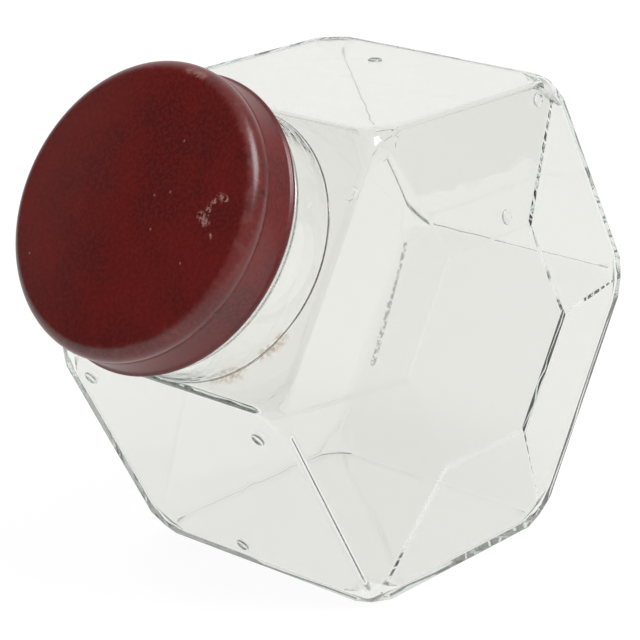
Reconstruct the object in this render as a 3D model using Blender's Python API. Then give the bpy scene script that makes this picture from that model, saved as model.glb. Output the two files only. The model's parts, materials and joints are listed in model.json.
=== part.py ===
"""Glass counter jar of one US gallon, with a screw lid.

The body is a hexagonal prism that rests on one of its six side walls, with a bevelled crown on each
hexagonal end. A wide round mouth leans out of the side wall above the resting one, and a lid of painted
tinplate screws onto it over a loose pulpboard liner.

The origin is the middle of the resting face, +Z is up and the mouth leans towards -X.
"""

import itertools
import math

import bmesh
import bpy
from mathutils import Matrix, Vector

# Glass body
SIDE = 0.110  # side of the hexagon, and the distance from its middle to a corner
HALF_DEPTH = 0.0585  # half the length of the six side walls, along Y
CROWN_HEIGHT = 0.011  # how far each bevelled end stands out past the side walls
CROWN_SCALE = 0.457  # side of the flat hexagon in the middle of each end, as a share of SIDE
WALL = 0.0026  # thickness of the blown walls
BASE_EXTRA = 0.0010  # and of the resting one past that, with as much less at the top
EDGE_ROUND = 0.0016  # radius along the edges outside
CORNER_ROUND = 0.0080  # and of the balls in the corners where the edges meet
INSIDE_EDGE_ROUND = 0.0020  # the inside is rounder, as blown glass is
INSIDE_CORNER_ROUND = 0.0100
EDGE_START = 1.3  # where the crisp part of an edge starts, in corner radii from the corner
BALL_STEPS = 3

# Mouth. Heights are measured from the prism's middle, along the mouth's axis.
LEAN = math.radians(60)  # from upright, towards -X
RIM_HEIGHT = 0.1417
NECK_RADIUS = 0.0534
BORE_RADIUS = 0.0493
NECK_FLARE = 0.0014  # fillet where the neck leaves the body
BORE_FLARE = 0.0018  # and how far the bore opens out on the inside
PAST_RIM = 0.0040  # how far the bore's cutter runs out past the rim
FLARE_SUNK = 0.0004  # the flares start this far inside the walls that they run into
LIP_ROUND = 0.0016
RING_HEIGHT = 0.1155  # middle of the transfer ring, below the lid
RING_RADIUS = 0.0550
RING_HALF_WIDTH = 0.0021

# Thread, a right-handed single one at five threads an inch
PITCH = 0.00508
TURNS = 1.15
THREAD_RADIUS = 0.0548
THREAD_TOP = 0.0042  # from the rim down to the thread's upper end
THREAD_SUNK = 0.0008  # how far its root lies inside the neck's wall
THREAD_ROOT_WIDTH = 0.0032
THREAD_CREST_WIDTH = 0.0014
LEAD_IN = math.radians(30)  # over which each end of a thread grows out of its wall
LEAST_GROWN = 0.05  # share of its height that a thread starts with

# Lid
LID_TOP = 0.1444
LID_HEM = 0.1222
SHEET = 0.0005
SHOULDER_RADIUS = 0.0566
SHOULDER_ROUND = 0.0055
GROOVE_DEPTH = 0.0004
GROOVE_DROP = 0.0022  # from the shoulder's lower end down to the bottom of the groove
GROOVE_HALF_WIDTH = 0.0010
SKIRT_RADIUS = 0.0566
CURL_OUTSIDE = 0.0579
CURL_ROUND = 0.0010
CURL_RISE = 0.0016  # from the curl's middle up to where it leaves the skirt
BEAD_RADIUS = 0.0540  # how far in the lid's rolled thread reaches
BEAD_ROOT_WIDTH = 0.0022
BEAD_CREST_WIDTH = 0.0009
BEAD_DROP = 0.00185  # the lid's thread hooks this far below the glass one

# Liner
LINER_RADIUS = 0.0526
LINER_THICKNESS = 0.0012
TOUCH_GAP = 0.0003

ROUND_STEPS = 72
TO_FLAT = math.sqrt(3) / 2  # from a hexagon's middle to a flat, as a share of its side
BODY_MIDDLE = SIDE * TO_FLAT
FLAT_ENOUGH = math.radians(0.2)  # faces that turn less than this are one flat face


def clear_scene():
    for old in list(bpy.data.objects):
        bpy.data.objects.remove(old)


def finish(name, colour, roughness, metallic=0.0, transmission=0.0):
    material = bpy.data.materials.new(name)
    material.use_nodes = True
    shader = material.node_tree.nodes["Principled BSDF"]
    shader.inputs["Base Color"].default_value = (*colour, 1.0)
    shader.inputs["Roughness"].default_value = roughness
    shader.inputs["Metallic"].default_value = metallic
    shader.inputs["Transmission Weight"].default_value = transmission
    material.diffuse_color = (*colour, 1.0)
    return material


def add_object(name, bm, material=None, placed=None):
    """A mesh object from bm. With no material it is a cutter or a blank, which isn't rendered."""
    mesh = bpy.data.meshes.new(name)
    bm.to_mesh(mesh)
    bm.free()
    mesh.shade_smooth()
    mesh.set_sharp_from_angle(angle=math.radians(35))
    obj = bpy.data.objects.new(name, mesh)
    bpy.context.scene.collection.objects.link(obj)
    if placed:
        obj.matrix_world = placed
    if material:
        mesh.materials.append(material)
    else:
        obj.hide_render = True
        obj.display_type = "WIRE"
    return obj


def boolean(target, other, operation):
    modifier = target.modifiers.new(f"{operation.title()} {other.name}", "BOOLEAN")
    modifier.operation = operation
    modifier.object = other
    modifier.solver = "MANIFOLD"


def between(first, second, share):
    """A unit vector that share of the way from one unit vector to another."""
    angle = first.angle(second)
    return (math.sin((1 - share) * angle) * first + math.sin(share * angle) * second).normalized()


def hexagon_corner(side, number, height):
    angle = math.radians(60 * number)
    return Vector((side * math.cos(angle), side * math.sin(angle), height))


def ball_place(side, half_depth, slope, radius):
    """How far from the axis, and how high, a ball touches a side wall and the crown above it."""
    return side * TO_FLAT - radius, half_depth + radius * (slope - math.hypot(1, slope))


def rounded_prism(side, half_depth, corner_round, edge_round):
    """A hexagonal prism along Y with a bevelled crown on each end, crisp along its edges and soft in its corners.

    It is the hull of balls, of each of which only the outward patch is made: a large one inside every corner,
    and small ones along the edges between them.
    """
    slope = CROWN_HEIGHT / (SIDE * TO_FLAT * (1 - CROWN_SCALE))
    top = half_depth + slope * side * TO_FLAT * (1 - CROWN_SCALE)
    flat, depth = ball_place(side, half_depth, slope, edge_round)
    corner_flat, corner_depth = ball_place(side, half_depth, slope, corner_round)
    crown_flat = flat - (top - edge_round - depth) / slope
    reach = EDGE_START * corner_round
    bm = bmesh.new()
    for number, upright in itertools.product(range(6), (1, -1)):
        walls = [hexagon_corner(1, number + half, 0) for half in (-0.5, 0.5)]
        end = Vector((0, 0, upright))
        bevels = [(slope * wall + end).normalized() for wall in walls]
        corner = hexagon_corner(corner_flat / TO_FLAT, number, upright * corner_depth)
        between_walls = hexagon_corner(flat / TO_FLAT, number, upright * (half_depth - reach))
        under_crown = flat * walls[1] + depth * end
        along = (side / 2 - reach) * walls[1].cross(end)
        for i in range(BALL_STEPS + 1):
            low = between(*walls, i / BALL_STEPS)
            high = between(*bevels, i / BALL_STEPS)
            for j in range(BALL_STEPS + 1):
                bm.verts.new(corner + corner_round * between(low, high, j / BALL_STEPS))
            bm.verts.new(between_walls + edge_round * low)
            rolled = edge_round * between(walls[1], bevels[1], i / BALL_STEPS)
            bm.verts.new(under_crown + along + rolled)
            bm.verts.new(under_crown - along + rolled)
        crown = hexagon_corner(crown_flat / TO_FLAT, number, upright * (top - edge_round))
        for normal in (*bevels, end):
            bm.verts.new(crown + edge_round * normal)
    hull = bmesh.ops.convex_hull(bm, input=bm.verts)
    spare = [item for item in hull["geom_interior"] if isinstance(item, bmesh.types.BMVert)]
    bmesh.ops.delete(bm, geom=spare, context="VERTS")
    bmesh.ops.dissolve_limit(bm, angle_limit=FLAT_ENOUGH, verts=bm.verts, edges=bm.edges)
    # The long axis along Y, corners to +X and -X, and one wall flat on the ground
    tip = Matrix.Rotation(math.radians(90), 4, "X")
    lift = Matrix.Translation((0, 0, BODY_MIDDLE))
    bmesh.ops.transform(bm, matrix=lift @ tip, verts=bm.verts)
    bmesh.ops.recalc_face_normals(bm, faces=bm.faces)
    return bm


def turned(profile):
    """A profile of (radius, height) points, from the axis and back to it, spun around Z."""
    bm = bmesh.new()
    verts = [bm.verts.new((radius, 0, height)) for radius, height in profile]
    edges = [bm.edges.new(pair) for pair in zip(verts, verts[1:])]
    bmesh.ops.spin(
        bm,
        geom=verts + edges,
        cent=(0, 0, 0),
        axis=(0, 0, 1),
        angle=math.tau,
        steps=ROUND_STEPS,
        use_merge=True,
    )
    bmesh.ops.remove_doubles(bm, verts=bm.verts, dist=1e-6)
    bmesh.ops.recalc_face_normals(bm, faces=bm.faces)
    return bm


def arc(middle, radius, start, end, steps):
    """Points of an arc in a profile. Angles are in degrees, from +radius towards +height."""
    points = []
    for i in range(steps + 1):
        angle = math.radians(start + (end - start) * i / steps)
        points.append((middle[0] + radius * math.cos(angle), middle[1] + radius * math.sin(angle)))
    return points


def coil(root, crest, root_width, crest_width, upper_end):
    """A right-handed thread from a root radius to a crest radius, which fades into its wall at each end.

    Heights are from the rim, and upper_end is the height of the thread's middle at its upper end.
    """
    bm = bmesh.new()
    steps = round(ROUND_STEPS * TURNS)
    rings = []
    for i in range(steps + 1):
        height = upper_end - PITCH * (TURNS - i / ROUND_STEPS)
        from_end = min(i, steps - i) * math.tau / ROUND_STEPS
        grown = max(LEAST_GROWN, min(1.0, from_end / LEAD_IN))
        tip = root + (crest - root) * grown
        section = (
            (root, height - root_width / 2),
            (tip, height - crest_width / 2),
            (tip, height + crest_width / 2),
            (root, height + root_width / 2),
        )
        # Half a step round, so that no edge of the thread lies on an edge of the faceted wall
        turn = Matrix.Rotation(math.tau * (i + 0.5) / ROUND_STEPS, 3, "Z")
        rings.append([bm.verts.new(turn @ Vector((r, 0, h))) for r, h in section])
    for near, far in zip(rings, rings[1:]):
        for k in range(4):
            bm.faces.new((near[k], near[k - 1], far[k - 1], far[k]))
    bm.faces.new(rings[0])
    bm.faces.new(reversed(rings[-1]))
    bmesh.ops.recalc_face_normals(bm, faces=bm.faces)
    return bm


def neck_profile():
    """The outside of the neck, from inside the body's wall up to the rim, in heights from the rim."""
    wall = BODY_MIDDLE - RIM_HEIGHT
    ring = RING_HEIGHT - RIM_HEIGHT
    sunk = wall - WALL / 2
    flare = (NECK_RADIUS + NECK_FLARE, wall + NECK_FLARE - FLARE_SUNK)
    points = [(0, sunk), (NECK_RADIUS + NECK_FLARE, sunk)]
    points += arc(flare, NECK_FLARE, 270, 180, 3)
    points.append((NECK_RADIUS, ring - RING_HALF_WIDTH))
    points.append((RING_RADIUS, ring - RING_HALF_WIDTH / 2))
    points.append((RING_RADIUS, ring + RING_HALF_WIDTH / 2))
    points.append((NECK_RADIUS, ring + RING_HALF_WIDTH))
    points += arc((NECK_RADIUS - LIP_ROUND, -LIP_ROUND), LIP_ROUND, 0, 90, 3)
    points.append((0, 0))
    return points


def bore_profile():
    """The way through the neck, which opens out towards the inside of the body."""
    inner_wall = BODY_MIDDLE - WALL - RIM_HEIGHT
    points = [(0, inner_wall - WALL), (BORE_RADIUS + BORE_FLARE, inner_wall - WALL)]
    points += [(BORE_RADIUS + BORE_FLARE, inner_wall - FLARE_SUNK), (BORE_RADIUS, inner_wall + WALL)]
    points += [(BORE_RADIUS, -LIP_ROUND), (BORE_RADIUS + LIP_ROUND / 2, PAST_RIM), (0, PAST_RIM)]
    return points


def lid_profile():
    """The section of the lid's sheet, outside and then inside, in heights from the rim."""
    top = LID_TOP - RIM_HEIGHT
    hem = LID_HEM - RIM_HEIGHT
    shoulder = (SHOULDER_RADIUS - SHOULDER_ROUND, top - SHOULDER_ROUND)
    groove = shoulder[1] - GROOVE_DROP
    curl = (CURL_OUTSIDE - CURL_ROUND, hem + CURL_ROUND)
    points = [(0, top)]
    points += arc(shoulder, SHOULDER_ROUND, 90, 0, 6)
    points += [(SHOULDER_RADIUS - GROOVE_DEPTH, groove), (SKIRT_RADIUS, groove - GROOVE_HALF_WIDTH)]
    points += [(SKIRT_RADIUS, curl[1] + CURL_RISE)]
    points += arc(curl, CURL_ROUND, 60, -180, 6)
    points += [(SKIRT_RADIUS - SHEET, curl[1] + CURL_ROUND)]
    points += [(SKIRT_RADIUS - SHEET, groove - GROOVE_HALF_WIDTH)]
    points += [(SHOULDER_RADIUS - GROOVE_DEPTH - SHEET, groove)]
    points += arc(shoulder, SHOULDER_ROUND - SHEET, 0, 90, 6)
    points.append((0, top - SHEET))
    return points


def liner_profile():
    bottom = TOUCH_GAP
    top = bottom + LINER_THICKNESS
    cut = LINER_THICKNESS / 4
    return [(0, top), (LINER_RADIUS - cut, top), (LINER_RADIUS, top - cut), (LINER_RADIUS, bottom), (0, bottom)]


def build_glass_jar(mouth):
    glass = finish("soda-lime glass", (0.86, 0.90, 0.87), 0.03, transmission=1.0)
    jar = add_object("glass_jar", rounded_prism(SIDE, HALF_DEPTH, CORNER_ROUND, EDGE_ROUND), glass)
    hollow = rounded_prism(
        SIDE - WALL / TO_FLAT, HALF_DEPTH - WALL, INSIDE_CORNER_ROUND, INSIDE_EDGE_ROUND
    )
    bmesh.ops.translate(hollow, vec=(0, 0, BASE_EXTRA), verts=hollow.verts)
    inside = add_object("cavity", hollow)
    neck = add_object("neck_blank", turned(neck_profile()), placed=mouth)
    thread = coil(
        NECK_RADIUS - THREAD_SUNK, THREAD_RADIUS, THREAD_ROOT_WIDTH, THREAD_CREST_WIDTH, -THREAD_TOP
    )
    glass_thread = add_object("neck_thread", thread, placed=mouth)
    bore = add_object("bore", turned(bore_profile()), placed=mouth)

    boolean(neck, glass_thread, "UNION")
    boolean(inside, bore, "UNION")
    boolean(jar, neck, "UNION")
    boolean(jar, inside, "DIFFERENCE")


def build_screw_lid(mouth):
    enamel = finish("dark red enamel on tinplate", (0.110, 0.013, 0.012), 0.38, metallic=0.0)
    lid = add_object("screw_lid", turned(lid_profile()), enamel, placed=mouth)
    bead = coil(
        SKIRT_RADIUS - SHEET / 2, BEAD_RADIUS, BEAD_ROOT_WIDTH, BEAD_CREST_WIDTH, -THREAD_TOP - BEAD_DROP
    )
    rolled_thread = add_object("lid_thread", bead, placed=mouth)
    boolean(lid, rolled_thread, "UNION")


def build_lid_liner(mouth):
    pulpboard = finish("waxed pulpboard", (0.55, 0.47, 0.34), 0.75)
    add_object("lid_liner", turned(liner_profile()), pulpboard, placed=mouth)


def main():
    clear_scene()
    lean = Matrix.Rotation(-LEAN, 4, "Y")
    axis = lean @ Vector((0, 0, 1))
    mouth = Matrix.Translation(Vector((0, 0, BODY_MIDDLE)) + RIM_HEIGHT * axis) @ lean
    build_glass_jar(mouth)
    build_screw_lid(mouth)
    build_lid_liner(mouth)


main()
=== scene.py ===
"""Looks of the hexagonal glass counter jar: glass, enamelled lid and pulpboard liner on a lit opal sheet.

Heights in a profile are in metres from the rim of the mouth, along the mouth's axis.
"""

import itertools
import json
import math

import bmesh
import bpy
from mathutils import Matrix, Vector


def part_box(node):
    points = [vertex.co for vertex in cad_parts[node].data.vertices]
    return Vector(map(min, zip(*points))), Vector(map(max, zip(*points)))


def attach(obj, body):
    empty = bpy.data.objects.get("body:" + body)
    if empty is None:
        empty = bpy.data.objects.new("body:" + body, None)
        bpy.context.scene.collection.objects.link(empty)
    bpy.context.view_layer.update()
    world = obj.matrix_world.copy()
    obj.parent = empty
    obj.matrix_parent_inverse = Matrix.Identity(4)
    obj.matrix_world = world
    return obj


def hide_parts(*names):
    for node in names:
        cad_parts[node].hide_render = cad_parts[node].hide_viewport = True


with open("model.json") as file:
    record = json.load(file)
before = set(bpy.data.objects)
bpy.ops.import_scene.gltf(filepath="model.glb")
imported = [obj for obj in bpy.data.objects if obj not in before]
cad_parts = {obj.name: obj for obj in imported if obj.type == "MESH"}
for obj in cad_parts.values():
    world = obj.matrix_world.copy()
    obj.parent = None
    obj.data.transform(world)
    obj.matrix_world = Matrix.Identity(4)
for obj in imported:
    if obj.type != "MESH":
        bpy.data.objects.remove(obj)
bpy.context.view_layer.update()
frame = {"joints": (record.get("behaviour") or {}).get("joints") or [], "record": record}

joints = {joint["name"]: joint for joint in frame["joints"]}
mounts = {mount["name"]: mount for mount in frame["record"]["mounts"]}

# Body, worked out from the frame: upright_base is the middle of the lower right wall of the hexagon
TO_FLAT = math.sqrt(3) / 2  # from a hexagon's middle to a flat, as a share of its side
SIDE = mounts["upright_base"]["pos_m"][0] / 0.75
BODY_MIDDLE = SIDE * TO_FLAT
TOP_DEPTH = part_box("glass_jar")[1].y
CROWN_HEIGHT = 0.011
CROWN_SCALE = 0.457  # side of the flat hexagon on each end, as a share of SIDE
HALF_DEPTH = TOP_DEPTH - CROWN_HEIGHT
WALL = 0.0026
BASE_EXTRA = 0.0010  # the hollow sits this far higher than the body's middle, so the base is thicker
EDGE_ROUND = 0.0016
CORNER_ROUND = 0.0080
INSIDE_EDGE_ROUND = 0.0020
INSIDE_CORNER_ROUND = 0.0100
EDGE_START = 1.3  # where the crisp part of an edge starts, in corner radii from the corner
BALL_STEPS = 8  # steps across a rounded corner
CROWN_STEPS = 3  # and across the softer corner of a crown
FLAT_ENOUGH = math.radians(0.2)  # faces that turn less than this are one flat face

# Mouth, on the axis of the lid's joint
MOUTH_AXIS = Vector(joints["lid_turn"]["axis"])
RIM_HEIGHT = (Vector(joints["lid_turn"]["pos_m"]) - Vector((0, 0, BODY_MIDDLE))).length
LEAN = math.acos(MOUTH_AXIS.z)
MOUTH = Matrix.Translation(joints["lid_turn"]["pos_m"]) @ Matrix.Rotation(-LEAN, 4, "Y")
WALL_HEIGHT = BODY_MIDDLE - RIM_HEIGHT  # of the wall that the neck leaves, from the rim
NECK_RADIUS = 0.0534
BORE_RADIUS = 0.0493
NECK_FLARE = 0.0014
BORE_FLARE = 0.0018
FLARE_SUNK = 0.0004
LIP_ROUND = 0.0020
RING_HEIGHT = -0.0262
RING_RADIUS = 0.0546
RING_ROUND = 0.0022

# Thread
PITCH = 0.00508
TURNS = 1.15
THREAD_TOP = 0.0042  # from the rim down to the thread's upper end
THREAD_CREST = 0.0548
THREAD_HALF_WIDTH = 0.0013
THREAD_SUNK = 0.0008  # how far its root lies inside the neck's wall
BEAD_CREST = 0.0540
BEAD_HALF_WIDTH = 0.0009
CREST_STEPS = 6
CREST_REACH = 0.7  # where the rounded crest ends, as a share of the half width
CREST_FULLNESS = 0.5  # the lower this power, the flatter the crest
THREAD_TIP = 0.04  # height at the very ends, as a share of the full height
BEAD_DROP = 0.00185  # the lid's thread hooks this far below the glass one
LEAD_IN = math.radians(30)

# Lid
LID_TOP = 0.0027
LID_HEM = -0.0195
SHEET = 0.0005
SHOULDER_RADIUS = 0.0566
SHOULDER_ROUND = 0.0055
GROOVE_DEPTH = 0.0004
GROOVE_HALF_WIDTH = 0.0010
GROOVE_BEND = 0.0003  # half width of its rounded bottom
BEND_DEPTH = 0.6  # of the groove where that bottom starts, as a share of its depth
GROOVE_DROP = 0.0022  # from the shoulder's lower end down to the bottom of the groove
SKIRT_RADIUS = 0.0566
CURL_OUTSIDE = 0.0579
CURL_ROUND = 0.0010
SKIRT_END = 1.8  # the skirt's lower end, from the middle of the curl, in curl radii
SHARP = math.radians(50)  # an edge of the lid or the liner that turns more than this is crisp

# Liner
LINER_RADIUS = 0.0526
LINER_THICKNESS = 0.0012
TOUCH_GAP = 0.0003

# Marks on the lid in the mouth's frame, in metres: start, end and half width of each
FACE = LID_TOP
SCUFF = [
    ((0.0016, -0.0372, FACE), (0.0036, -0.0340, FACE), 0.0021),
    ((0.0030, -0.0366, FACE), (0.0072, -0.0364, FACE), 0.0017),
    ((0.0072, -0.0364, FACE), (0.0118, -0.0392, FACE), 0.0012),
    ((0.0118, -0.0392, FACE), (0.0114, -0.0424, FACE), 0.0018),
    ((-0.0020, -0.0412, FACE), (-0.0026, -0.0416, FACE), 0.0009),
]
SPECKS = [
    ((u, v, FACE), (u + 0.0003, v, FACE), 0.0005)
    for u, v in (
        (0.0086, -0.0168),
        (0.0061, -0.0100),
        (-0.0061, -0.0137),
        (0.0276, -0.0149),
        (-0.0265, 0.0391),
        (-0.0149, -0.0323),
    )
]
RUBBED_RIM = [((0.0528, -0.0047, 0.0010), (0.0520, -0.0125, 0.0010), 0.0022)]
DARK_CHIPS = [((0.0175, -0.0535, -0.0020), (0.0166, -0.0545, -0.0045), 0.0012)]

# Vent marks, which the mould's air vents leave: on a wall, a place on it and the wall's outward direction
VENT_RADIUS = 0.0026
VENT_PROUD = 0.0005
VENT_ROOT = -0.0006  # how far the mark goes into the glass, so that the two join
VENT_FACE = 0.0001
VENT_FOOT = 0.0004  # half width of the mark's ring at its foot
VENT_CREST = 0.0002  # and at its crest
VENT_INNER_FOOT = 0.0005
VENTS = [
    ((-0.1013, -0.0401, 0.0802), (-0.8660, 0.0, -0.5)),
    ((-0.1034, 0.0454, 0.0837), (-0.8660, 0.0, -0.5)),
    ((-0.0607, 0.0057, 0.0098), (-0.8660, 0.0, -0.5)),
    ((-0.0669, -0.0548, 0.1699), (-0.8660, 0.0, 0.5)),
    ((0.0297, 0.0138, 0.1905), (0.0, 0.0, 1.0)),
    ((0.0404, -0.0598, 0.1843), (0.0, -0.977, 0.211)),
    ((0.0108, -0.0681, 0.1453), (0.0, -0.977, 0.211)),
]

# Deposits in the crease round the neck, in the mouth's frame
DEPOSITS = [
    ((-0.0470, -0.0240, -0.0455), (-0.0425, -0.0330, -0.0455), 0.0045),
    ((-0.0330, -0.0430, -0.0460), (-0.0270, -0.0475, -0.0460), 0.0040),
]

# A mark is at its full strength over this share of its half width
STREAK_CORE = 0.4

# Grey dust in the crease inside, where the lower right wall meets the far crown
DUST = [
    (MOUTH.inverted() @ Vector(start), MOUTH.inverted() @ Vector(end), half_width)
    for start, end, half_width in (
        ((0.1008, 0.0549, 0.0865), (0.0875, 0.0529, 0.0625), 0.0012),
        ((0.0875, 0.0529, 0.0625), (0.0735, 0.0510, 0.0383), 0.0018),
    )
]

# Wear on the lid's shoulder, by radius: where it is full and where there is none, inwards and outwards
SHOULDER_WEAR = ((0.0535, 0.0505), (0.0560, 0.0567))
# Painted sheen, which lightens one side of the lid's face: where it is full and where there is none, on the
# mouth's Y
PAINTED_SHEEN_SPAN = (0.050, -0.005)

# Patterns: the size of one patch, clump or ripple of each, in metres, as matched
DEPOSIT_EDGE = 0.00625
DUST_EDGE = 0.00833
GRIT = 0.0020  # the real grains are finer, and are drawn as clumps so that they show
GLASS_RIPPLE = 0.0263
CLOUD = 0.0222
MOTTLE = 0.00143
WORN_PATCH = 0.00385
ORANGE_PEEL = 0.00111
FIBRE_FLOCK = 0.000714  # a knot of fibres; a single one is too fine to show

ROUND_STEPS = 192
VENT_STEPS = 32
WELD = 1e-6  # points nearer than this are one

# Table: it reaches far past the view, a hair below the glass
TABLE_HALF_WIDTH = 6.0
TABLE_DROP = 0.0001
TABLE_GLOW = 0.93

# Room: it is lit all round but for one side. A span is the cosines of the angles from the side at which
# the change starts and is complete.
DARK_SIDE = (-0.64, 0.62, 0.35)
DARK_SPAN = (0.65, 0.93)
ROOM = 0.62
DARK_ROOM = 0.05
# and the white sweep behind the table
SWEEP_SIDE = (0.70, 0.62, 0.35)
SWEEP_SPAN = (0.6, 0.95)
SWEEP = 0.6
BOUNCES = 64  # light that is caught in the glass needs this many to get out again

# Camera: its place is from the middle of the body, in sides of the hexagon
CAMERA_PLACE = (-6.5834, -5.5382, 3.0210)
CAMERA_AZIMUTH = math.radians(-49.13)
CAMERA_ELEVATION = math.radians(19.615)
CAMERA_LENS = 139.46
CAMERA_SENSOR = 36.0


def hex_colour(code):
    """An sRGB hex code as the linear colour that shaders take."""
    channels = [int(code[i : i + 2], 16) / 255 for i in (1, 3, 5)]
    linear = [c / 12.92 if c <= 0.04045 else ((c + 0.055) / 1.055) ** 2.4 for c in channels]
    return (*linear, 1.0)


def add(material, kind, inputs=None, **settings):
    """Adds a node with its settings and its inputs, which are values or other nodes' outputs.

    It returns the node's own outputs.
    """
    tree = material.node_tree
    node = tree.nodes.new("ShaderNode" + kind)
    for name, value in settings.items():
        setattr(node, name, value)
    for socket, value in (inputs or {}).items():
        if isinstance(value, bpy.types.NodeSocket):
            tree.links.new(value, node.inputs[socket])
        else:
            node.inputs[socket].default_value = value
    return node.outputs


def new_material(name):
    material = bpy.data.materials.new(name)
    material.use_nodes = True
    material.node_tree.nodes.clear()
    return material


def piece(name, bm, placed=None):
    """An object at the origin whose place is in its mesh."""
    if placed:
        bmesh.ops.transform(bm, matrix=placed, verts=bm.verts)
    mesh = bpy.data.meshes.new(name)
    bm.to_mesh(mesh)
    bm.free()
    mesh.shade_smooth()
    made = bpy.data.objects.new(name, mesh)
    bpy.context.scene.collection.objects.link(made)
    return made


def combine(target, other, operation):
    """Applies a Boolean of the other piece to the target, and removes the other piece."""
    modifier = target.modifiers.new("combine", "BOOLEAN")
    modifier.operation = operation
    modifier.object = other
    modifier.solver = "EXACT"
    graph = bpy.context.evaluated_depsgraph_get()
    whole = bpy.data.meshes.new_from_object(target.evaluated_get(graph))
    target.modifiers.clear()
    whole.name = target.data.name
    target.data = whole
    bpy.data.objects.remove(other)


def between(first, second, share):
    """A unit vector that share of the way from one unit vector to another."""
    angle = first.angle(second)
    return (math.sin((1 - share) * angle) * first + math.sin(share * angle) * second).normalized()


def hexagon_corner(side, number, height):
    angle = math.radians(60 * number)
    return Vector((side * math.cos(angle), side * math.sin(angle), height))


def ball_place(side, half_depth, slope, radius):
    """How far from the axis, and how high, a ball touches a side wall and the crown above it."""
    return side * TO_FLAT - radius, half_depth + radius * (slope - math.hypot(1, slope))


def rounded_prism(side, half_depth, corner_round, edge_round):
    """A hexagonal prism along Y with a bevelled crown on each end.

    Its edges are crisp and its corners are soft. It is the hull of balls, of each of which only the outward
    patch is made: a large one inside every corner, and small ones along the edges between them.
    """
    slope = CROWN_HEIGHT / (SIDE * TO_FLAT * (1 - CROWN_SCALE))
    top = half_depth + slope * side * TO_FLAT * (1 - CROWN_SCALE)
    flat, depth = ball_place(side, half_depth, slope, edge_round)
    corner_flat, corner_depth = ball_place(side, half_depth, slope, corner_round)
    crown_flat = flat - (top - edge_round - depth) / slope
    reach = EDGE_START * corner_round
    bm = bmesh.new()
    for number, upright in itertools.product(range(6), (1, -1)):
        walls = [hexagon_corner(1, number + half, 0) for half in (-0.5, 0.5)]
        end = Vector((0, 0, upright))
        bevels = [(slope * wall + end).normalized() for wall in walls]
        corner = hexagon_corner(corner_flat / TO_FLAT, number, upright * corner_depth)
        between_walls = hexagon_corner(flat / TO_FLAT, number, upright * (half_depth - reach))
        under_crown = flat * walls[1] + depth * end
        along = (side / 2 - reach) * walls[1].cross(end)
        for i in range(BALL_STEPS + 1):
            low = between(*walls, i / BALL_STEPS)
            high = between(*bevels, i / BALL_STEPS)
            for j in range(BALL_STEPS + 1):
                bm.verts.new(corner + corner_round * between(low, high, j / BALL_STEPS))
            bm.verts.new(between_walls + edge_round * low)
            rolled = edge_round * between(walls[1], bevels[1], i / BALL_STEPS)
            bm.verts.new(under_crown + along + rolled)
            bm.verts.new(under_crown - along + rolled)
        crown = hexagon_corner(crown_flat / TO_FLAT, number, upright * (top - edge_round))
        bm.verts.new(crown + edge_round * end)
        for i, j in itertools.product(range(BALL_STEPS + 1), range(CROWN_STEPS)):
            high = between(*bevels, i / BALL_STEPS)
            bm.verts.new(crown + edge_round * between(high, end, j / CROWN_STEPS))
    hull = bmesh.ops.convex_hull(bm, input=bm.verts)
    spare = [item for item in hull["geom_interior"] if isinstance(item, bmesh.types.BMVert)]
    bmesh.ops.delete(bm, geom=spare, context="VERTS")
    bmesh.ops.dissolve_limit(bm, angle_limit=FLAT_ENOUGH, verts=bm.verts, edges=bm.edges)
    # The long axis along Y, corners to +X and -X, and one wall flat on the ground
    tip = Matrix.Rotation(math.radians(90), 4, "X")
    lift = Matrix.Translation((0, 0, BODY_MIDDLE))
    bmesh.ops.transform(bm, matrix=lift @ tip, verts=bm.verts)
    bmesh.ops.recalc_face_normals(bm, faces=bm.faces)
    return bm


def arc(middle, radius, start, end, steps):
    """Points of an arc in a profile. Angles are in degrees, from +radius towards +height."""
    points = []
    for i in range(steps + 1):
        angle = math.radians(start + (end - start) * i / steps)
        points.append((middle[0] + radius * math.cos(angle), middle[1] + radius * math.sin(angle)))
    return points


def turned(profile, steps=ROUND_STEPS):
    """A profile of (radius, height) points, from the axis and back to it, spun around Z."""
    bm = bmesh.new()
    verts = [bm.verts.new((radius, 0, height)) for radius, height in profile]
    edges = [bm.edges.new(pair) for pair in zip(verts, verts[1:])]
    bmesh.ops.spin(
        bm,
        geom=verts + edges,
        cent=(0, 0, 0),
        axis=(0, 0, 1),
        angle=math.tau,
        steps=steps,
        use_merge=True,
    )
    bmesh.ops.remove_doubles(bm, verts=bm.verts, dist=WELD)
    bmesh.ops.recalc_face_normals(bm, faces=bm.faces)
    return bm


def coil(root, crest, half_width, lowest):
    """A right-handed thread with a rounded crest, swept up from its lowest end and fading at both ends."""
    bm = bmesh.new()
    section = [(root, -half_width)]
    for i in range(CREST_STEPS + 1):
        across = CREST_REACH * (2 * i / CREST_STEPS - 1)
        height = math.cos(across) ** CREST_FULLNESS
        section.append((root + (crest - root) * height, half_width * across))
    section.append((root, half_width))
    verts = [bm.verts.new((radius, 0, lowest + height)) for radius, height in section]
    face = bm.faces.new(verts)
    steps = round(ROUND_STEPS * TURNS)
    bmesh.ops.spin(
        bm,
        geom=[face],
        cent=(0, 0, 0),
        axis=(0, 0, 1),
        dvec=(0, 0, PITCH * TURNS / steps),
        angle=math.tau * TURNS,
        steps=steps,
    )
    for vert in bm.verts:
        # How far round the thread this point is, read from the height that its sweep gave it
        around = math.atan2(vert.co.y, vert.co.x) % math.tau
        rise = (vert.co.z - lowest) / PITCH * math.tau
        swept = around + math.tau * round((rise - around) / math.tau)
        from_end = min(swept, math.tau * TURNS - swept)
        grown = max(THREAD_TIP, min(1.0, from_end / LEAD_IN))
        radius = vert.co.xy.length
        vert.co.xy *= (root + (radius - root) * grown) / radius
    bmesh.ops.recalc_face_normals(bm, faces=bm.faces)
    return bm


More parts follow.
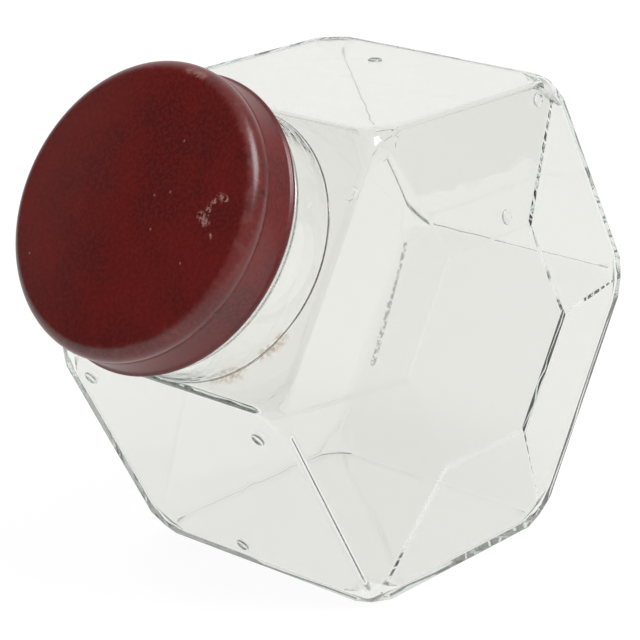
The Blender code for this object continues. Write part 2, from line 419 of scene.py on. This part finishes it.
def neck_profile():
    sunk = WALL_HEIGHT - WALL / 2
    flare = (NECK_RADIUS + NECK_FLARE, WALL_HEIGHT + NECK_FLARE - FLARE_SUNK)
    points = [(0, sunk), (NECK_RADIUS + NECK_FLARE, sunk)]
    points += arc(flare, NECK_FLARE, 270, 180, 8)
    ring = (RING_RADIUS - RING_ROUND, RING_HEIGHT)
    points += arc(ring, RING_ROUND, -75, 75, 10)
    points += arc((NECK_RADIUS - LIP_ROUND, -LIP_ROUND), LIP_ROUND, 0, 90, 8)
    points.append((0, 0))
    return points


def bore_profile():
    inner_wall = WALL_HEIGHT - WALL
    past_rim = 0.004
    flare = (BORE_RADIUS + BORE_FLARE, inner_wall + BORE_FLARE)
    points = [(0, inner_wall - WALL), (BORE_RADIUS + BORE_FLARE, inner_wall - WALL)]
    points += [(BORE_RADIUS + BORE_FLARE, inner_wall - FLARE_SUNK)]
    points += arc(flare, BORE_FLARE, 250, 180, 6)
    points += arc((BORE_RADIUS + LIP_ROUND / 2, -LIP_ROUND / 2), LIP_ROUND / 2, 180, 100, 6)
    points += [(BORE_RADIUS + LIP_ROUND / 2, past_rim), (0, past_rim)]
    return points


def vent_profile():
    """A ring that stands a little proud of the glass, round a face that is almost flush with it."""
    foot = VENT_RADIUS + VENT_FOOT
    points = [(0, VENT_ROOT), (foot, VENT_ROOT), (foot, VENT_FACE)]
    points += [(VENT_RADIUS + VENT_CREST, VENT_PROUD), (VENT_RADIUS - VENT_CREST, VENT_PROUD)]
    points += [(VENT_RADIUS - VENT_INNER_FOOT, VENT_FACE), (0, VENT_FACE)]
    return points


def lid_profile():
    """The section of the lid's sheet, outside and then inside."""
    shoulder = (SHOULDER_RADIUS - SHOULDER_ROUND, LID_TOP - SHOULDER_ROUND)
    groove = shoulder[1] - GROOVE_DROP
    bottom = SHOULDER_RADIUS - GROOVE_DEPTH
    bend = SHOULDER_RADIUS - BEND_DEPTH * GROOVE_DEPTH
    curl = (CURL_OUTSIDE - CURL_ROUND, LID_HEM + CURL_ROUND)
    inner_skirt = SKIRT_RADIUS - SHEET
    points = [(0, LID_TOP)]
    points += arc(shoulder, SHOULDER_ROUND, 90, 0, 16)
    points += [(bend, groove + GROOVE_BEND), (bottom, groove), (bend, groove - GROOVE_BEND)]
    points += [(SKIRT_RADIUS, groove - GROOVE_HALF_WIDTH), (SKIRT_RADIUS, curl[1] + SKIRT_END * CURL_ROUND)]
    points += arc(curl, CURL_ROUND, 70, -180, 14)
    points += [(inner_skirt, curl[1] + CURL_ROUND), (inner_skirt, groove - GROOVE_HALF_WIDTH)]
    points += [(bottom - SHEET, groove)]
    points += arc(shoulder, SHOULDER_ROUND - SHEET, 0, 90, 12)
    points.append((0, LID_TOP - SHEET))
    return points


def liner_profile():
    top = TOUCH_GAP + LINER_THICKNESS
    edge = LINER_THICKNESS / 3
    points = [(0, top)]
    points += arc((LINER_RADIUS - edge, top - edge), edge, 90, 0, 4)
    points += arc((LINER_RADIUS - edge, TOUCH_GAP + edge), edge, 0, -90, 4)
    points.append((0, TOUCH_GAP))
    return points


def in_mouth_frame(material):
    """The place on a surface in the mouth's frame: Z along its axis from the rim, X up the lid's face."""
    place = add(material, "TexCoord")["Object"]
    frame_of_mouth = {
        "Vector": place,
        "Location": MOUTH.translation,
        "Rotation": MOUTH.to_euler(),
    }
    return add(material, "Mapping", frame_of_mouth, vector_type="TEXTURE")["Vector"]


def wandering(material, place, size, distance):
    """The place, moved about by a noise, so that a mark there gets a ragged outline."""
    noise = add(material, "TexNoise", {"Vector": place, "Scale": 1 / size, "Detail": 2.0})
    centred = add(material, "VectorMath", {0: noise["Color"], 1: (0.5,) * 3}, operation="SUBTRACT")
    spread = {0: centred["Vector"], 1: (distance,) * 3, 2: place}
    return add(material, "VectorMath", spread, operation="MULTIPLY_ADD")["Vector"]


def faded(value, full, none):
    """Inputs of a range that is 1 where the value is at full, and 0 from none on."""
    return {"Value": value, "From Min": full, "From Max": none, "To Min": 1.0, "To Max": 0.0}


def patches(material, place, size, detail, full, none):
    """Patches of that size: 1 where their noise is past full, and 0 where it is past none."""
    noise = add(material, "TexNoise", {"Vector": place, "Scale": 1 / size, "Detail": detail})
    share = faded(noise["Fac"], full, none)
    return add(material, "MapRange", share, interpolation_type="SMOOTHSTEP")["Result"]


def streak(material, place, start, end, half_width):
    """1 along the line from start to end, and 0 further than half_width from it."""
    start, end = Vector(start), Vector(end)
    length = (end - start).length
    direction = (end - start) / length
    offset = add(material, "VectorMath", {0: place, 1: start}, operation="SUBTRACT")["Vector"]
    along = add(material, "VectorMath", {0: offset, 1: direction}, operation="DOT_PRODUCT")["Value"]
    held = add(material, "Clamp", {"Value": along, "Min": 0.0, "Max": length})["Result"]
    nearest = add(material, "VectorMath", {0: direction, "Scale": held}, operation="SCALE")["Vector"]
    away = add(material, "VectorMath", {0: offset, 1: nearest}, operation="DISTANCE")["Value"]
    share = faded(away, STREAK_CORE * half_width, half_width)
    return add(material, "MapRange", share, interpolation_type="SMOOTHSTEP")["Result"]


def marks(material, place, lines):
    """1 on any of the lines, each given as its start, its end and its half width."""
    found = 0.0
    for start, end, half_width in lines:
        line = streak(material, place, start, end, half_width)
        found = add(material, "Math", {0: found, 1: line}, operation="MAXIMUM")["Value"]
    return found


def layered(material, colour, layers):
    """The colour with each layer's own over it: a layer is its mask, its strength and its colour."""
    for mask, strength, over in layers:
        share = add(material, "Math", {0: mask, 1: strength}, operation="MULTIPLY")["Value"]
        colour = add(material, "Mix", {0: share, 6: colour, 7: hex_colour(over)}, data_type="RGBA")[2]
    return colour


def soda_lime_glass():
    """Clear soda-lime glass, blown in an iron mould.

    The eye gets a hard gloss with a faint ripple from the mould's skin, and a little green where light goes
    far through it. A brown deposit lies in the crease where the neck leaves the body, and grey dust inside.
    """
    material = new_material("blown soda-lime glass")
    place = in_mouth_frame(material)
    deposit = marks(material, wandering(material, place, DEPOSIT_EDGE, distance=0.006), DEPOSITS)
    dust = marks(material, wandering(material, place, DUST_EDGE, distance=0.0010), DUST)
    layers = [
        (deposit, patches(material, place, GRIT, detail=5.0, full=0.62, none=0.40), "#C3AE9C"),
        (dust, patches(material, place, GRIT, detail=5.0, full=0.60, none=0.36), "#7C7D79"),
    ]
    clear = layered(material, hex_colour("#F1F1EE"), layers)
    ripple = add(material, "TexNoise", {"Vector": place, "Scale": 1 / GLASS_RIPPLE, "Detail": 1.0})
    bump = add(material, "Bump", {"Height": ripple["Fac"], "Strength": 0.12, "Distance": 0.0012})
    shader = add(
        material,
        "BsdfPrincipled",
        {
            "Base Color": clear,
            "Roughness": 0.0,
            "IOR": 1.51,
            "Transmission Weight": 1.0,
            "Normal": bump["Normal"],
        },
    )
    depth = add(material, "VolumeAbsorption", {"Color": hex_colour("#D3DFD6"), "Density": 4.0})
    add(
        material,
        "OutputMaterial",
        {"Surface": shader["BSDF"], "Volume": depth["Volume"]},
    )
    return material


def stoved_enamel():
    """Dark red stoving enamel, baked on tinplate.

    The eye gets a satin gloss with a slight orange peel, a mottle over broad clouds, and a painted sheen that
    lightens one side of the face. The shoulder is rubbed by shelves and hands, and the top has one scuff and
    a few specks.
    """
    material = new_material("stoved enamel on tinplate")
    place = in_mouth_frame(material)
    axes = add(material, "SeparateXYZ", {"Vector": place})
    clouds = patches(material, place, CLOUD, detail=3.0, full=0.35, none=0.65)
    mottle = patches(material, place, MOTTLE, detail=4.0, full=0.62, none=0.40)
    # Painted sheen: the paint turns lighter towards one side of the lid's face
    painted_sheen = add(material, "MapRange", faded(axes["Y"], *PAINTED_SHEEN_SPAN), interpolation_type="SMOOTHSTEP")["Result"]
    # Distance from the mouth's axis, and the band of it that is the shoulder
    radius = add(material, "VectorMath", {0: place, 1: (1.0, 1.0, 0.0)}, operation="MULTIPLY")
    radius = add(material, "VectorMath", {0: radius["Vector"]}, operation="LENGTH")["Value"]
    shoulder = 1.0
    for full, none in SHOULDER_WEAR:
        share = faded(radius, full, none)
        side = add(material, "MapRange", share, interpolation_type="SMOOTHSTEP")["Result"]
        shoulder = add(material, "Math", {0: shoulder, 1: side}, operation="MULTIPLY")["Value"]
    # Wear: a mask, what breaks it up, and its strength
    ragged = wandering(material, place, MOTTLE, distance=0.0026)
    wear = [
        (marks(material, ragged, SCUFF), mottle, 0.8),
        (marks(material, place, SPECKS), 1.0, 0.45),
        (marks(material, ragged, RUBBED_RIM), 1.0, 0.45),
        (shoulder, patches(material, place, WORN_PATCH, detail=6.0, full=0.68, none=0.50), 0.07),
    ]
    bare = 0.0
    for mask, broken_up, strength in wear:
        mask = add(material, "Math", {0: mask, 1: broken_up}, operation="MULTIPLY")["Value"]
        mask = add(material, "Math", {0: mask, 1: strength}, operation="MULTIPLY")["Value"]
        bare = add(material, "Math", {0: bare, 1: mask}, operation="MAXIMUM")["Value"]
    layers = [
        (clouds, 1.0, "#5E1412"),
        (mottle, 0.55, "#6B1E1B"),
        # Painted sheen: a pale pinkish grey laid over one side of the lid's face
        (painted_sheen, 0.08, "#8A6A64"),
        (bare, 1.0, "#A57D75"),
        (marks(material, ragged, DARK_CHIPS), 0.75, "#2A0C0B"),
    ]
    paint = layered(material, hex_colour("#4D1413"), layers)
    rough = add(material, "MapRange", {"Value": bare, "To Min": 0.30, "To Max": 0.60})["Result"]
    peel = add(material, "TexNoise", {"Vector": place, "Scale": 1 / ORANGE_PEEL, "Detail": 2.0})["Fac"]
    bump = add(material, "Bump", {"Height": peel, "Strength": 0.2, "Distance": 0.0001})
    shader = add(
        material,
        "BsdfPrincipled",
        {"Base Color": paint, "Roughness": rough, "IOR": 1.5, "Normal": bump["Normal"]},
    )
    add(material, "OutputMaterial", {"Surface": shader["BSDF"]})
    return material


def waxed_pulpboard():
    """Pulpboard, pressed from waste fibre and waxed on its face: the eye gets a matt, speckled, buff card."""
    material = new_material("waxed pulpboard")
    place = add(material, "TexCoord")["Object"]
    fibre = add(material, "TexNoise", {"Vector": place, "Scale": 1 / FIBRE_FLOCK, "Detail": 3.0})["Fac"]
    card = layered(material, hex_colour("#A8977B"), [(fibre, 1.0, "#D2C4A6")])
    shader = add(material, "BsdfPrincipled", {"Base Color": card, "Roughness": 0.6})
    add(material, "OutputMaterial", {"Surface": shader["BSDF"]})
    return material


def opal_acrylic():
    """Cast opal acrylic, lit from below: the eye gets an even white with no edge and hardly a shadow."""
    material = new_material("opal acrylic, lit from below")
    shader = add(
        material,
        "BsdfPrincipled",
        {
            "Base Color": hex_colour("#616161"),
            "Roughness": 0.8,
            "Specular IOR Level": 0.1,
            "Emission Color": hex_colour("#FFFFFF"),
            "Emission Strength": TABLE_GLOW,
        },
    )
    add(material, "OutputMaterial", {"Surface": shader["BSDF"]})
    return material


def build_jar():
    jar = piece("jar_glass", rounded_prism(SIDE, HALF_DEPTH, CORNER_ROUND, EDGE_ROUND))
    hollow = rounded_prism(
        SIDE - WALL / TO_FLAT, HALF_DEPTH - WALL, INSIDE_CORNER_ROUND, INSIDE_EDGE_ROUND
    )
    inside = piece("hollow", hollow, Matrix.Translation((0, 0, BASE_EXTRA)))
    neck = piece("neck", turned(neck_profile()), MOUTH)
    lowest = -THREAD_TOP - PITCH * TURNS
    thread = coil(NECK_RADIUS - THREAD_SUNK, THREAD_CREST, THREAD_HALF_WIDTH, lowest)
    combine(neck, piece("thread", thread, MOUTH), "UNION")
    combine(inside, piece("bore", turned(bore_profile()), MOUTH), "UNION")
    combine(jar, neck, "UNION")
    for place, outward in VENTS:
        turn = Vector(outward).to_track_quat("Z", "Y").to_matrix().to_4x4()
        vent = turned(vent_profile(), VENT_STEPS)
        combine(jar, piece("vent_mark", vent, Matrix.Translation(place) @ turn), "UNION")
    combine(jar, inside, "DIFFERENCE")
    jar.data.shade_smooth()
    weighted = jar.modifiers.new("flat faces stay flat", "WEIGHTED_NORMAL")
    weighted.mode = "FACE_AREA"
    jar.data.materials.append(soda_lime_glass())
    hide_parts("glass_jar")
    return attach(jar, "jar")


def build_lid():
    lid = piece("enamelled_lid", turned(lid_profile()), MOUTH)
    lowest = -THREAD_TOP - BEAD_DROP - PITCH * TURNS
    bead = coil(SKIRT_RADIUS - SHEET / 2, BEAD_CREST, BEAD_HALF_WIDTH, lowest)
    combine(lid, piece("bead", bead, MOUTH), "UNION")
    lid.data.set_sharp_from_angle(angle=SHARP)
    lid.data.materials.append(stoved_enamel())
    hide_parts("screw_lid")
    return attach(lid, "lid")


def build_liner():
    liner = piece("pulpboard_liner", turned(liner_profile()), MOUTH)
    liner.data.set_sharp_from_angle(angle=SHARP)
    liner.data.materials.append(waxed_pulpboard())
    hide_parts("lid_liner")
    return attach(liner, "liner")


def build_table():
    bm = bmesh.new()
    bmesh.ops.create_grid(bm, x_segments=2, y_segments=2, size=TABLE_HALF_WIDTH)
    table = piece("table", bm, Matrix.Translation((0, 0, -TABLE_DROP)))
    table.data.materials.append(opal_acrylic())


def soft_light(name, place, aim, size, power):
    light = bpy.data.lights.new(name, "AREA")
    light.shape = "RECTANGLE"
    light.size, light.size_y = size
    light.energy = power
    made = bpy.data.objects.new(name, light)
    bpy.context.scene.collection.objects.link(made)
    made.visible_transmission = False
    made.location = place
    made.rotation_euler = (Vector(aim) - Vector(place)).to_track_quat("-Z", "Y").to_euler()


def light_studio():
    world = bpy.data.worlds.new("studio")
    world.use_nodes = True
    bpy.context.scene.world = world
    world.node_tree.nodes.clear()
    towards = add(world, "TexCoord")["Generated"]
    sides = [(DARK_SIDE, DARK_SPAN, ROOM, DARK_ROOM), (SWEEP_SIDE, SWEEP_SPAN, 0.0, SWEEP)]
    strength = 0.0
    for side, (start, end), before, after in sides:
        side = Vector(side).normalized()
        facing = add(world, "VectorMath", {0: towards, 1: side}, operation="DOT_PRODUCT")["Value"]
        change = {"Value": facing, "From Min": start, "From Max": end, "To Min": before, "To Max": after}
        glow = add(world, "MapRange", change, interpolation_type="SMOOTHSTEP")["Result"]
        strength = add(world, "Math", {0: strength, 1: glow}, operation="ADD")["Value"]
    background = add(world, "Background", {"Strength": strength})
    add(world, "OutputWorld", {"Surface": background["Background"]})
    soft_light("overhead box", (-0.1, -0.75, 1.55), (0, 0, 0.1), (0.8, 0.8), 21)
    bpy.context.scene.view_settings.view_transform = "Standard"
    cycles = bpy.context.scene.cycles
    cycles.max_bounces = cycles.transmission_bounces = cycles.glossy_bounces = BOUNCES


def place_camera():
    data = bpy.data.cameras.new("camera")
    data.sensor_width = CAMERA_SENSOR
    data.lens = CAMERA_LENS
    camera = bpy.data.objects.new("camera", data)
    bpy.context.scene.collection.objects.link(camera)
    camera.location = Vector((0, 0, BODY_MIDDLE)) + SIDE * Vector(CAMERA_PLACE)
    camera.rotation_euler = (math.radians(90) - CAMERA_ELEVATION, 0, CAMERA_AZIMUTH)
    bpy.context.scene.camera = camera


place_camera()
light_studio()
build_table()
build_jar()
build_lid()
build_liner()
